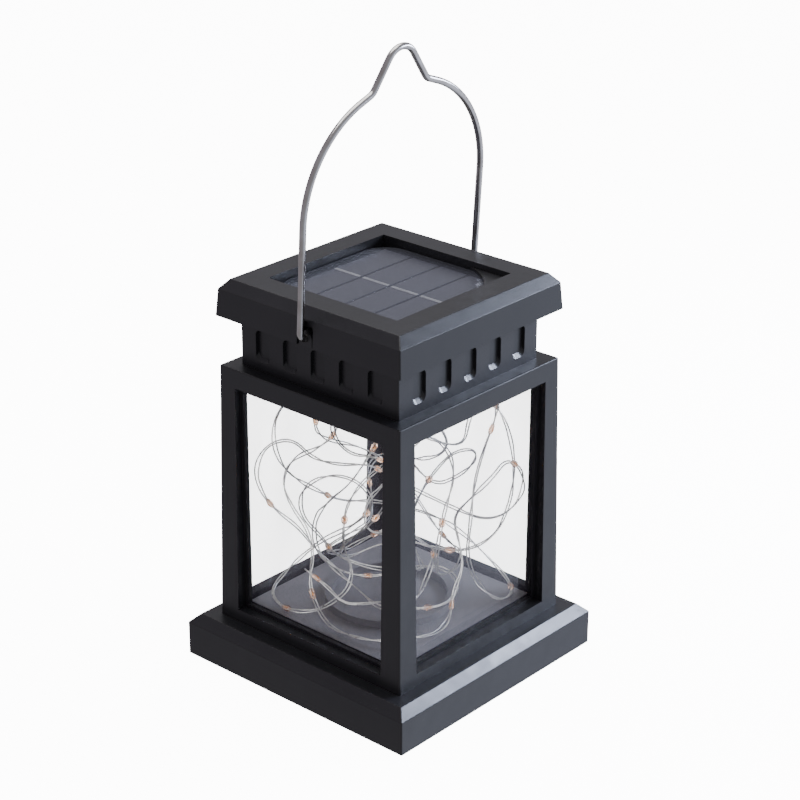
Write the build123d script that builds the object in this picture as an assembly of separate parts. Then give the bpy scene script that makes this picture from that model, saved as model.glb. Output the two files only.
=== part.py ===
from build123d import *
import math
import os

# A square solar garden lantern, in millimetres. The origin is at the centre of the base's underside,
# +Z is up and X runs along the handle's hinge axis. Each function makes one sub-part's solids.

# ---- driving dimensions: base ----
base_side = 107.0
base_edge_height = 13.0
base_top_side = 99.8  # the flat inside the base's bevel
base_top_height = 16.5
base_wall = 2.6
base_ceiling = 11.0  # the hollow underneath narrows from here
base_deck_underside = 14.0
base_deck_inset = 2.25  # how far inside the bevel's flat the hollow ends
platform_wall = 2.2
floor_half = 36.8  # half the side of the raised floor between the panes
floor_height = 21.5
seat_outer_radius = 24.4  # the ring that a candle would stand in
seat_inner_radius = 21.6
seat_height = 3.0
edge_round = 0.5

# ---- window frame and panes ----
frame_foot_side = 89.2  # the window frame tapers from here
frame_head_side = 85.9  # to here
frame_top_height = 117.5
frame_edge_round = 0.6
window_width = 71.0
window_bottom = 21.2
window_top = 110.2
side_border = 1.7  # the step that frames the pane
bottom_border = 1.2
border_face = 40.6  # from the centre to the step
pane_face = 38.8  # from the centre to the outer side of the pane's seat
pane_thickness = 1.5
pane_half_width = 36.9
pane_gap = 0.1
pane_top_gap = 0.3
mouth_side = 66.0  # the hole in the frame's top
mouth_floor = 113.0
keeper_low = 109.2  # the rim that holds the panes' top edges from inside
keeper_high = 113.5

# ---- collar and cap ----
collar_side = 74.7
cap_bottom = 136.3
flute_count = 5
flute_pitch = 13.35
flute_width = 6.6
flute_bottom = 120.7
flute_top = 132.7
flute_depth = 1.3
flute_round = 2.2
flute_draft = 0.2  # how much each side of a flute leans in over its depth
flute_ledge = 1.5  # and how much its foot does
flange_half = 41.0
flange_top = 137.8
flange_gap = 0.1
spigot_half = 35.0  # the collar's rim that reaches up to the cap's deck
spigot_inner_half = 31.7
cap_foot_side = 87.4
cap_head_side = 85.9
cap_bevel_height = 146.3
cap_top_side = 79.4
cap_top_height = 150.0
cap_inner_half = 39.8
cap_hollow_top = 147.0
recess_side = 60.4
recess_wall = 2.2
deck_top = 143.9  # the floor of the panel's recess
deck_bottom = 141.7

# ---- handle and its pivots ----
pivot_height = 139.2
wire_diameter = 2.5
leg_offset = 45.7  # from the centre to the middle of a handle leg, at the pivot
leg_top_offset = 46.0
leg_top = 207.9
kink_offset = 13.7  # where the shoulders turn up into the hump
kink_height = 219.7
hump_corner = 239.2  # where the hump's two sides would meet
pin_tip = 38.7
pin_clearance = 0.08
pin_bend_radius = 3.0
shoulder_radius = 40.4
kink_radius = 4.5
hump_radius = 7.6
handle_lean = 3.2  # degrees towards -Y
notch_width = 7.4
notch_depth = 5.2
notch_top = 145.8
notch_offset = 42.6
lug_width = 6.0
lug_inner = 40.9
lug_outer = 43.2
pivot_hole_length = 6.0

# ---- solar panel ----
panel_side = 60.0
panel_corner = 11.0
pad_side = 54.0
pad_corner = 8.0
pad_thickness = 0.6
pad_hole_radius = 3.0
board_thickness = 1.2
cell_count = 4
cell_length = 54.0
cell_width = 12.6
cell_pitch = 13.6
cell_thickness = 0.3
ribbon_width = 1.4
ribbon_thickness = 0.15
ribbon_inset = 0.3
resin_top = 146.9
pocket_gap = 0.05  # between the resin and the cells and ribbons that it covers
web_radius = 26.0  # the thin web of the cap that holds down one corner of the panel
web_centre = 5.0
web_low = 147.0
web_high = 147.8
lead_hole_y = -12.0  # the leads' way through the pad and the deck

# ---- tray ----
tray_side = 65.4
tray_bottom = 112.6
tray_plate_top = 114.8
tray_rim_top = 121.0
tray_wall = 1.6
cell_wall_inner = 26.6  # the two walls behind the battery's contacts
cell_wall_outer = 27.8
cell_wall_half = 8.0
cell_wall_top = 127.0
door_opening_half = (26.0, 7.4)
standoff_radius = 1.8
standoff_places = ((-18.0, -22.0), (2.0, -22.0), (-18.0, -4.0))
gland_x = -6.0
gland_y = -3.0
gland_neck_radius = 2.05
gland_hole_radius = 2.1
gland_lip_radius = 3.2
gland_rim_radius = 2.9

# ---- screws and their posts ----
screw_radius = 1.3
screw_hole_radius = 1.35
clearance_radius = 1.6
cross_slot = (3.2, 0.7, 0.8)  # length, width and depth
base_screw_offset = 41.7
base_screw_head = (2.7, 4.0, 6.0)  # radius, bottom and top
base_screw_top = 27.0
base_boss_radius = 3.8
post_offset = 27.8  # the four screw posts, from the centre
post_radius = 3.0
post_foot = 119.2
post_socket_radius = 3.4
counterbore_radius = 2.9
counterbore_depth = 2.0
tray_screw_head = (2.5, 112.8, 114.6)
tray_screw_top = 127.2
post_hole_top = 128.2

# ---- battery and its door ----
battery_radius = 7.1
battery_length = 49.2
battery_x = -0.6
battery_y = 13.0
battery_z = 122.4
battery_nub = (2.7, 1.0)  # radius and length
battery_groove = (3.0, 0.8, 0.4)  # from the end, width and depth
contact_inner = 26.0
contact_thickness = 0.5
contact_half_width = 6.0
contact_bottom = 116.0
contact_top = 129.5
tongue_inner = 25.3
tongue_near, tongue_far = 1.4, 3.4  # from the cell's axis
tongue_half_height = 3.0
tongue_overlap = 0.1
contact_button = (1.8, 25.0)  # radius and inner end
door_half_length = 27.6
door_half_width = 8.9
door_thickness = 1.3
door_gap = 0.2
door_seat_gap = 0.1
door_ear = (14.0, 1.4)
door_ear_radius = 4.2
door_post_radius = 2.6
door_post_top = 119.0
door_screw_head = (2.4, 111.4, 112.6)
door_screw_top = 118.5
door_rib_count = 5
door_rib_pitch = 2.4
door_rib_width = 1.2
door_rib_start = -22.0
door_rib_half = 5.0
door_rib_depth = 0.5

# ---- circuit and switch ----
circuit_low = 119.0
circuit_high = 120.2
circuit_x = (-21.0, 5.0)
circuit_y = (-26.0, -0.5)
chip_x = (-16.0, -11.5)
chip_y = (-20.0, -17.4)
chip_lift = 0.8
chip_height = 3.2
chip_legs = 4
chip_leg_pitch = 1.1
chip_leg = (0.5, 0.4)
choke_centre = (-3.0, -18.0)
choke_height = 2.2  # its axis above the circuit
choke_radius = 1.6
choke_length = 7.0
choke_wire_radius = 0.3
choke_leg_offset = 5.0
switch_x = 20.0
switch_y = -14.0
switch_half = (4.6, 2.4)
switch_height = 4.2
switch_cavity = 1.6
switch_pin_pitch = 2.6
switch_pin_half = (0.3, 0.2)
switch_pin_length = 3.0
knob_length = 2.0
knob_travel = 2.4
knob_half_width = 1.1
knob_drop = 2.0  # how far it stands out under the tray
knob_rise = 1.4
knob_slot_gap = 0.1
knob_groove_count = 3
knob_groove_pitch = 0.6
knob_groove_width = 0.25

# ---- wires and LEDs ----
lead_diameter = 1.1
string_diameter = 1.4
bead_radius = 1.5
bead_length = 4.0
bead_end_flat = 0.25
led_first_run = 8  # the first run of the string that carries an LED
led_spacing = 7  # and then every seventh

cut_past = 1.0  # how far a cut runs on past the face that it opens
sink = 0.5  # how far a boss or post starts inside the plate that it stands on

# The string of lights, from inside the tray down through the gland and round the chamber.
string_route = [
    (-6, -3, 119), (-6, -3, 105), (-2, -9, 95), (7, -19, 88), (17, -21, 85), (24, -17, 91),
    (28, -18, 100), (29, -25, 103), (25, -30, 98), (21, -27, 84), (18, -25, 70), (14, -27, 56),
    (12, -27, 43), (16, -29, 31), (22, -34, 23), (30, -35, 23), (35, -29, 25), (33, -21, 32),
    (27, -14, 42), (21, -6, 49), (13, 5, 53), (4, 13, 56), (-7, 18, 58), (-18, 21, 66), (-30, 23, 76),
    (-34, 26, 87), (-30, 29, 97), (-20, 28, 104), (-9, 22, 100), (-9, 16, 90), (-15, 19, 83),
    (-20, 31, 76), (-24, 32, 67), (-24, 27, 59), (-23, 20, 52), (-25, 15, 44), (-28, 15, 34),
    (-31, 8, 26), (-34, -2, 23), (-33, -13, 23), (-30, -23, 24), (-23, -32, 26), (-13, -34, 24),
    (-4, -33, 26), (1, -30, 34), (7, -30, 42), (10, -25, 50), (11, -21, 58), (12, -28, 67),
    (19, -33, 75), (28, -32, 79), (35, -34, 73), (35, -35, 64), (29, -33, 57), (23, -27, 54),
    (18, -18, 57), (8, -6, 65), (-1, 1, 73), (-9, 2, 79), (-18, 8, 80), (-24, 16, 82), (-22, 28, 86),
    (-30, 34, 84), (-35, 35, 75), (-34, 32, 66), (-30, 29, 59), (-24, 24, 52), (-18, 22, 42),
    (-14, 14, 33), (-13, 3, 28), (-16, -9, 26), (-9, -19, 27), (2, -25, 26), (12, -23, 27),
    (18, -17, 30), (15, -8, 32), (5, -1, 31), (-6, 6, 34), (-16, 14, 41), (-22, 13, 50), (-29, 17, 60),
    (-32, 15, 71), (-29, 10, 78), (-24, 3, 80), (-18, -3, 76), (-14, -5, 67), (-14, 2, 58),
    (-13, 12, 50), (-12, 22, 43), (-14, 30, 35), (-22, 34, 28), (-31, 32, 25), (-34, 25, 23),
    (-34, 17, 23), (-30, 10, 24), (-24, 6, 27), (-18, 4, 31), (-14, 6, 37), (-16, 8, 44), (-19, 6, 53),
    (-14, 9, 62), (-4, 9, 69), (6, 3, 76), (13, -5, 84), (20, -9, 94), (28, -13, 99), (32, -20, 99),
    (32, -27, 93), (34, -29, 84), (35, -30, 75), (35, -30, 65), (33, -29, 55), (26, -29, 47),
    (17, -23, 42), (8, -15, 44), (-1, -8, 49), (-11, -2, 48), (-21, 1, 46), (-29, -1, 51),
    (-33, -8, 60), (-33, -18, 69), (-31, -26, 79), (-28, -28, 90), (-21, -26, 100), (-11, -28, 101),
    (-3, -31, 93), (-1, -32, 82), (-6, -32, 72), (-11, -33, 61), (-11, -32, 50), (-4, -28, 42),
    (6, -24, 38), (15, -21, 36), (24, -15, 36), (28, -6, 35), (30, 3, 38), (29, 10, 46), (26, 16, 56),
    (22, 24, 64), (14, 30, 70), (4, 34, 74), (-5, 33, 81), (-6, 31, 91), (2, 29, 99), (12, 27, 103),
    (22, 27, 99), (29, 27, 90), (32, 26, 80), (30, 21, 70), (27, 12, 62), (28, 2, 57), (31, -6, 62),
    (32, -14, 70), (27, -18, 79), (18, -15, 80), (8, -15, 76), (-2, -17, 72), (-12, -21, 67),
    (-21, -19, 62), (-26, -11, 63), (-22, -8, 72), (-17, -13, 79), (-18, -17, 88), (-25, -14, 93),
    (-28, -6, 92), (-27, 4, 97), (-19, 9, 102), (-12, 3, 104), (-14, -7, 101), (-20, -13, 98),
    (-28, -15, 94), (-33, -11, 84), (-35, -2, 75), (-34, 6, 65), (-33, 7, 54), (-29, 5, 45),
    (-22, -2, 40), (-12, -8, 38), (-2, -13, 40), (6, -12, 34), (10, -4, 38), (16, 4, 41), (22, 13, 39),
    (24, 22, 34), (17, 29, 29), (7, 31, 27), (-2, 30, 30), (-8, 25, 37), (-2, 18, 43), (8, 17, 44),
    (15, 22, 50), (20, 30, 58), (29, 31, 61), (34, 23, 60), (34, 14, 62), (34, 4, 67), (31, -2, 76),
    (27, 3, 85), (22, 10, 93), (14, 14, 99), (5, 13, 103), (0, 6, 97), (1, 4, 88), (9, 11, 82),
    (18, 13, 76), (21, 8, 67), (14, 3, 60), (3, 2, 60), (-6, -4, 58), (-9, -13, 61), (-7, -20, 55),
    (1, -21, 49), (5, -17, 41), (-1, -18, 34), (-9, -21, 31), (-19, -19, 35), (-26, -13, 34),
    (-31, -5, 33), (-31, 3, 38), (-33, 12, 42),
]

# The leads, from the panel and the battery's contacts to the circuit.
panel_lead_routes = {
    "panel_lead_red": [(-1, -12, 144.5), (-1, -12, 134), (-2, -14, 127), (-2, -14, circuit_high)],
    "panel_lead_black": [(1, -12, 144.5), (1, -12, 133), (3, -13, 126), (3, -13, circuit_high)],
}
battery_lead_routes = {
    "battery_lead_red": [
        (26.25, battery_y, contact_top), (26.25, battery_y, 137), (16, 4, 138), (6, -8, 135),
        (-1, -19, 131), (-1, -24, 127), (-1, -24, circuit_high),
    ],
    "battery_lead_black": [
        (-26.25, battery_y, contact_top), (-26.25, battery_y, 137), (-24, 2, 138), (-19, -10, 135),
        (-18, -19, 130), (-18, -23, 126), (-18, -23, circuit_high),
    ],
}


# ---- shapes used by several sub-parts ----
def square_column(low, low_side, high, high_side):
    """A square column whose side goes evenly from low_side to high_side."""
    foot = Plane.XY.offset(low) * Rectangle(low_side, low_side)
    head = Plane.XY.offset(high) * Rectangle(high_side, high_side)
    return loft([foot, head], ruled=True)


def block(x_low, x_high, y_low, y_high, z_low, z_high):
    """A box given by its limits."""
    middle = ((x_low + x_high) / 2, (y_low + y_high) / 2, (z_low + z_high) / 2)
    return Pos(*middle) * Box(x_high - x_low, y_high - y_low, z_high - z_low)


def square_block(half, z_low, z_high):
    """A square plate or block centred on the Z axis."""
    return block(-half, half, -half, half, z_low, z_high)


def centred_block(x, y, half_length, half_width, z_low, z_high):
    """A box given by its centre in plan, its half sizes and its height limits."""
    return block(x - half_length, x + half_length, y - half_width, y + half_width, z_low, z_high)


def rounded_plate(side, corner, z_low, z_high):
    """A square plate with round corners."""
    return extrude(Plane.XY.offset(z_low) * RectangleRounded(side, side, corner), amount=z_high - z_low)


def upright(x, y, radius, z_low, z_high):
    """A vertical round bar."""
    return Pos(x, y, (z_low + z_high) / 2) * Cylinder(radius, z_high - z_low)


def lying(x, y, z, radius, length):
    """A round bar along X, given by its middle."""
    return Pos(x, y, z) * Rot(0, 90, 0) * Cylinder(radius, length)


def four_corners(offset):
    """The four points at the corners of a square."""
    return [(x, y) for x in (-offset, offset) for y in (-offset, offset)]


def soften(part, radius, low, high, inside=0.0):
    """Round the edges whose middle lies between two heights and outside a half width."""
    chosen = [
        edge
        for edge in part.edges()
        if low <= edge.center().Z <= high and max(abs(edge.center().X), abs(edge.center().Y)) > inside
    ]
    return fillet(chosen, radius)


# ---- base ----
def make_base_plinth():
    foot = square_block(base_side / 2, 0, base_edge_height)
    bevel = square_column(base_edge_height, base_side, base_top_height, base_top_side)
    part = soften(foot + bevel, edge_round, cut_past, base_top_height, base_top_side / 2 - 1)
    part += square_block(floor_half, base_top_height - 1, floor_height)
    part -= square_block(base_side / 2 - base_wall, -cut_past, base_ceiling)
    part -= square_column(base_ceiling, base_side - 2 * base_wall,
                          base_deck_underside, base_top_side - 2 * base_deck_inset)
    part -= square_block(floor_half - platform_wall, base_deck_underside - 1, floor_height - platform_wall)
    for x, y in four_corners(base_screw_offset):
        part += upright(x, y, base_boss_radius, base_screw_head[2], base_deck_underside + sink)
        part -= upright(x, y, clearance_radius, 0, base_top_height + cut_past)
    ring = upright(0, 0, seat_outer_radius, floor_height - sink, floor_height + seat_height)
    ring -= upright(0, 0, seat_inner_radius, floor_height - cut_past, floor_height + seat_height + cut_past)
    return part + ring


def make_screw(x, y, head, tip_z):
    """A pan-head screw that points up, with a cross slot in its head."""
    head_radius, head_bottom, head_top = head
    screw = upright(x, y, head_radius, head_bottom, head_top)
    screw += upright(x, y, screw_radius, head_top - sink, tip_z)
    slot_length, slot_width, slot_depth = cross_slot
    for half_x, half_y in ((slot_length / 2, slot_width / 2), (slot_width / 2, slot_length / 2)):
        screw -= centred_block(x, y, half_x, half_y, head_bottom - cut_past, head_bottom + slot_depth)
    return screw


# ---- window frame and panes ----
def make_body_frame():
    part = square_column(base_top_height, frame_foot_side, frame_top_height, frame_head_side)
    part = soften(part, frame_edge_round, base_top_height + 1, frame_top_height, frame_head_side / 3)
    part -= square_block(pane_face, base_top_height - cut_past, mouth_floor)
    part -= square_block(mouth_side / 2, mouth_floor - cut_past, frame_top_height + cut_past)
    keeper = square_block(floor_half, keeper_low, keeper_high)
    keeper -= square_block(mouth_side / 2, keeper_low - cut_past, keeper_high + cut_past)
    part += keeper
    outer_half = window_width / 2
    inner_half = outer_half - side_border
    inner_low = window_bottom + bottom_border
    inner_high = window_top - side_border
    reach = frame_foot_side / 2 + cut_past
    for turn in range(4):
        window = block(-outer_half, outer_half, border_face, reach, window_bottom, window_top)
        window += block(-inner_half, inner_half, pane_face - cut_past, reach, inner_low, inner_high)
        part -= Rot(0, 0, 90 * turn) * window
    for x, y in four_corners(base_screw_offset):
        part -= upright(x, y, screw_hole_radius, base_top_height - cut_past, base_screw_top + sink)
    return part


def make_pane(turn):
    """A pane of clear plastic behind one window, standing on the base."""
    outside = pane_face - pane_gap
    pane = block(-pane_half_width, pane_half_width, outside - pane_thickness, outside,
                 base_top_height + pane_gap, mouth_floor - pane_top_gap)
    return Rot(0, 0, turn) * pane


# ---- cap and collar ----
def make_corner_web():
    """The thin web over the panel's front right corner, cut back along a round line."""
    reach = recess_side / 2 + sink
    web = block(web_centre, reach, -reach, -web_centre, web_low, web_high)
    return web - upright(web_centre, -web_centre, web_radius, web_low - cut_past, web_high + cut_past)


def make_lid_cap():
    skirt = square_column(cap_bottom, cap_foot_side, cap_bevel_height, cap_head_side)
    bevel = square_column(cap_bevel_height, cap_head_side, cap_top_height, cap_top_side)
    part = soften(skirt + bevel, edge_round, cap_bottom + 1, cap_top_height, recess_side / 2 + 1)
    part -= square_block(recess_side / 2, deck_top, cap_top_height + cut_past)
    part -= square_block(flange_half + flange_gap, cap_bottom - cut_past, deck_bottom)
    hollow = square_block(cap_inner_half, deck_bottom - sink, cap_hollow_top)
    hollow -= square_block(recess_side / 2 + recess_wall, deck_bottom - cut_past, cap_hollow_top + cut_past)
    part -= hollow
    part += make_corner_web()
    arch_radius = notch_width / 2
    arch_centre = notch_top - arch_radius
    for side in (-1, 1):
        notch = centred_block(side * notch_offset, 0, notch_depth / 2, arch_radius,
                              cap_bottom - cut_past, arch_centre)
        part -= notch + lying(side * notch_offset, 0, arch_centre, arch_radius, notch_depth)
    for x, y in four_corners(post_offset):
        part += upright(x, y, post_radius, post_foot, deck_bottom + sink)
        part -= upright(x, y, screw_hole_radius, post_foot - cut_past, post_hole_top)
    return part - upright(0, lead_hole_y, clearance_radius, deck_bottom - cut_past, deck_top + cut_past)


def make_lug():
    """The upright ear on the collar's right side that a handle pin turns in, before its hole."""
    middle, thickness = (lug_inner + lug_outer) / 2, lug_outer - lug_inner
    lug = centred_block(middle, 0, thickness / 2, lug_width / 2, cap_bottom, pivot_height)
    return lug + lying(middle, 0, pivot_height, lug_width / 2, thickness)


def make_flute():
    """The space of one flute in the collar's front: a shallow niche with a sloping foot."""
    height = flute_top - flute_bottom
    middle = (0, -collar_side / 2, (flute_top + flute_bottom) / 2)
    face = Plane(origin=middle, x_dir=(1, 0, 0), z_dir=(0, -1, 0))
    mouth = face * RectangleRounded(flute_width, height, flute_round)
    inner_size = (flute_width - 2 * flute_draft, height - flute_ledge - flute_draft)
    inner_shift = (flute_ledge - flute_draft) / 2
    back = face.offset(-flute_depth) * Pos(0, inner_shift) * RectangleRounded(*inner_size, flute_round)
    return loft([back, mouth], ruled=True) + extrude(mouth, amount=cut_past)


def make_lid_collar():
    part = square_block(collar_side / 2, frame_top_height, cap_bottom)
    part = soften(part, edge_round, frame_top_height + 1, cap_bottom - 1, collar_side / 2 - 1)
    part += square_block(flange_half, cap_bottom, flange_top)
    part += square_block(spigot_half, flange_top - sink, deck_bottom)
    part -= square_block(mouth_side / 2, frame_top_height - cut_past, flange_top)
    part -= square_block(spigot_inner_half, flange_top - cut_past, deck_bottom + cut_past)
    flute = make_flute()
    for turn in range(4):
        for number in range(flute_count):
            x = (number - (flute_count - 1) / 2) * flute_pitch
            part -= Rot(0, 0, 90 * turn) * Pos(x, 0, 0) * flute
    for side in (-1, 1):
        hole = lying(side * (lug_inner + lug_outer) / 2, 0, pivot_height,
                     wire_diameter / 2 + pin_clearance, pivot_hole_length)
        part += Rot(0, 0, 90 - 90 * side) * make_lug()
        part -= hole
    return part


# ---- handle ----
def make_handle_wire():
    """The bent wire: pivot pins, long legs, round shoulders and a small hump to hang it by."""
    half = [
        (-pin_tip, pivot_height),
        (-leg_offset, pivot_height),
        (-leg_top_offset, leg_top),
        (-kink_offset, kink_height),
    ]
    points = half + [(0, hump_corner)] + [(-x, z) for x, z in reversed(half)]
    bends = [pin_bend_radius, shoulder_radius, kink_radius]
    path = FilletPolyline(*[(x, 0, z) for x, z in points], radius=bends + [hump_radius] + bends[::-1])
    start = Plane(origin=path @ 0, z_dir=path % 0)
    wire = sweep(start * Circle(wire_diameter / 2), path=path)
    return Pos(0, 0, pivot_height) * Rot(handle_lean, 0, 0) * Pos(0, 0, -pivot_height) * wire


# ---- solar panel ----
board_low = deck_top + pad_thickness
board_high = board_low + board_thickness
cell_top = board_high + cell_thickness


def make_panel_pad():
    pad = rounded_plate(pad_side, pad_corner, deck_top, board_low)
    return pad - upright(0, lead_hole_y, pad_hole_radius, deck_top - cut_past, board_low + cut_past)


def cell_rows():
    """The middle of each cell, from front to back."""
    return [(number - (cell_count - 1) / 2) * cell_pitch for number in range(cell_count)]


def make_solar_cells():
    return [centred_block(0, y, cell_length / 2, cell_width / 2, board_high, cell_top) for y in cell_rows()]


def make_solar_ribbons():
    half_length = cell_width / 2 - ribbon_inset
    top = cell_top + ribbon_thickness
    return [centred_block(0, y, ribbon_width / 2, half_length, cell_top, top) for y in cell_rows()]


def make_solar_resin():
    part = rounded_plate(panel_side, panel_corner, board_high, resin_top)
    part = fillet(part.faces().sort_by(Axis.Z)[-1].edges(), edge_round)
    pocket_top = cell_top + ribbon_thickness + pocket_gap
    for y in cell_rows():
        half_length, half_width = cell_length / 2 + pocket_gap, cell_width / 2 + pocket_gap
        part -= centred_block(0, y, half_length, half_width, board_high, pocket_top)
    return part


# ---- tray ----
def knob_slot(grow, z_low, z_high):
    """The long space that the switch's knob slides in."""
    half_length = (knob_length + knob_travel) / 2 + grow
    return centred_block(switch_x, switch_y, half_length, knob_half_width + grow, z_low, z_high)


def make_lid_tray():
    part = square_block(tray_side / 2, tray_bottom, tray_rim_top)
    part -= square_block(tray_side / 2 - tray_wall, tray_plate_top, tray_rim_top + cut_past)
    below, above = tray_bottom - cut_past, tray_plate_top + cut_past
    for x, y in four_corners(post_offset):
        part += upright(x, y, post_socket_radius, tray_plate_top - sink, post_foot)
        part -= upright(x, y, clearance_radius, below, post_foot + cut_past)
        part -= upright(x, y, counterbore_radius, below, tray_bottom + counterbore_depth)
    for side in (-1, 1):
        part += centred_block(side * (cell_wall_inner + cell_wall_outer) / 2, battery_y,
                              (cell_wall_outer - cell_wall_inner) / 2, cell_wall_half,
                              tray_plate_top - sink, cell_wall_top)
    door_seat_top = tray_bottom + door_thickness + door_seat_gap
    part -= centred_block(0, battery_y, *door_opening_half, below, above)
    part -= door_outline(door_gap, below, door_seat_top)
    ear_x, ear_y = door_ear
    part += upright(ear_x, ear_y, door_post_radius, door_seat_top, door_post_top)
    part -= upright(ear_x, ear_y, screw_hole_radius, tray_bottom, door_post_top + cut_past)
    for x, y in standoff_places:
        part += upright(x, y, standoff_radius, tray_plate_top - sink, circuit_low)
    part -= upright(gland_x, gland_y, gland_hole_radius, below, above)
    return part - knob_slot(knob_slot_gap, below, above)


# ---- battery and its door ----
def door_outline(grow, z_low, z_high):
    """The battery door's shape: a long plate with an ear for its screw."""
    plate = centred_block(0, battery_y, door_half_length + grow, door_half_width + grow, z_low, z_high)
    return plate + upright(*door_ear, door_ear_radius + grow, z_low, z_high)


def make_battery_cover():
    part = door_outline(0, tray_bottom, tray_bottom + door_thickness)
    for number in range(door_rib_count):
        x = door_rib_start + (number + 0.25) * door_rib_pitch
        part -= centred_block(x, battery_y, door_rib_width / 2, door_rib_half,
                              tray_bottom - cut_past, tray_bottom + door_rib_depth)
    hole_top = tray_bottom + door_thickness + cut_past
    return part - upright(*door_ear, clearance_radius, tray_bottom - cut_past, hole_top)


def make_battery():
    can = lying(battery_x, battery_y, battery_z, battery_radius, battery_length)
    end = battery_x + battery_length / 2
    nub_radius, nub_length = battery_nub
    from_end, groove_width, groove_depth = battery_groove
    groove = lying(end - from_end, battery_y, battery_z, battery_radius + 1, groove_width)
    groove -= lying(end - from_end, battery_y, battery_z, battery_radius - groove_depth, 2 * groove_width)
    return can - groove + lying(end + nub_length / 2, battery_y, battery_z, nub_radius, nub_length)


def make_contact(side):
    """A sprung plate at one end of the cell: the minus end has two tongues, the plus end a button."""
    outer = contact_inner + contact_thickness
    plate = block(contact_inner, outer, -contact_half_width, contact_half_width, contact_bottom, contact_top)
    if side < 0:
        for y_low, y_high in ((-tongue_far, -tongue_near), (tongue_near, tongue_far)):
            plate += block(tongue_inner, outer - tongue_overlap, y_low, y_high,
                           battery_z - tongue_half_height, battery_z + tongue_half_height)
    else:
        radius, inner_end = contact_button
        plate += lying((inner_end + outer) / 2, 0, battery_z, radius, outer - inner_end)
    return Pos(0, battery_y, 0) * Rot(0, 0, 90 - 90 * side) * plate


# ---- circuit ----
def make_circuit_board():
    return block(*circuit_x, *circuit_y, circuit_low, circuit_high)


def make_driver_chip():
    """The four-legged charging and driving chip."""
    body_low = circuit_high + chip_lift
    part = block(*chip_x, *chip_y, body_low, body_low + chip_height)
    leg_width, leg_depth = chip_leg
    for number in range(chip_legs):
        x = (chip_x[0] + chip_x[1]) / 2 + (number - (chip_legs - 1) / 2) * chip_leg_pitch
        y = (chip_y[0] + chip_y[1]) / 2
        part += centred_block(x, y, leg_width / 2, leg_depth / 2, circuit_high, body_low + sink)
    return part


def make_inductor():
    """The choke: a moulded barrel on two wire legs."""
    x, y = choke_centre
    axis_z = circuit_high + choke_height
    part = lying(x, y, axis_z, choke_radius, choke_length)
    part += lying(x, y, axis_z, choke_wire_radius, 2 * (choke_leg_offset + choke_wire_radius))
    for side in (-1, 1):
        leg_x = x + side * choke_leg_offset
        part += upright(leg_x, y, choke_wire_radius, circuit_high, axis_z + choke_wire_radius)
    return part


# ---- switch ----
def make_switch_body():
    top = tray_plate_top + switch_height
    part = centred_block(switch_x, switch_y, *switch_half, tray_plate_top, top)
    part -= knob_slot(knob_slot_gap, tray_plate_top - cut_past, tray_plate_top + switch_cavity)
    for number in range(3):
        x = switch_x + switch_pin_pitch * (number - 1)
        part += centred_block(x, switch_y, *switch_pin_half, top - sink, top + switch_pin_length - sink)
    return part


def make_switch_knob():
    """The knob at the -X end of its travel, with ridges for a fingertip."""
    x = switch_x - knob_travel / 2
    low = tray_bottom - knob_drop
    part = centred_block(x, switch_y, knob_length / 2, knob_half_width, low, tray_plate_top + knob_rise)
    for number in range(knob_groove_count):
        groove_x = x + (number - (knob_groove_count - 1) / 2) * knob_groove_pitch
        part -= centred_block(groove_x, switch_y, knob_groove_width / 2, knob_half_width + cut_past,
                              low - cut_past, low + knob_groove_width)
    return part


def make_string_gland():
    """The rubber bush that the string leaves the tray through."""
    part = upright(gland_x, gland_y, gland_lip_radius, tray_bottom - 1.2, tray_bottom)
    part += upright(gland_x, gland_y, gland_neck_radius, tray_bottom - sink, tray_plate_top + sink)
    part += upright(gland_x, gland_y, gland_rim_radius, tray_plate_top, tray_plate_top + 1.0)
    return part - upright(gland_x, gland_y, string_diameter / 2, tray_bottom - 2, tray_plate_top + 2)


# ---- wires ----
def bend_radii(points):
    """The largest even bends that a route's runs leave room for."""
    radii = []
    for before, here, after in zip(points, points[1:], points[2:]):
        first = Vector(*here) - Vector(*before)
        second = Vector(*after) - Vector(*here)
        half_turn = math.radians(first.get_angle(second)) / 2
        radii.append(0.45 * min(first.length, second.length) / math.tan(half_turn))
    return radii


def wire_along(points, diameter, name):
    """A round wire of straight runs joined by tangent arcs."""
    radii = bend_radii(points)
    path = FilletPolyline(*points, radius=radii)
    start = Plane(origin=path @ 0, z_dir=path % 0)
    wire = sweep(start * Circle(diameter / 2), path=path)
    expected = math.pi * diameter**2 / 4 * path.length
    print(name, "length", round(path.length, 1), "volume share", round(wire.volume / expected, 4))
    print("  bend radii", [round(radius, 1) for radius in radii])
    return wire


def make_led_beads():
    """A drop of resin round each LED, in the middle of a straight run."""
    beads = []
    for before, after in list(zip(string_route, string_route[1:]))[led_first_run::led_spacing]:
        start, end = Vector(*before), Vector(*after)
        run = Plane(origin=(start + end) / 2, z_dir=end - start)
        bead = Cylinder(bead_radius, bead_length)
        beads.append(run * fillet(bead.edges(), bead_radius - bead_end_flat))
    return beads


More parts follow.
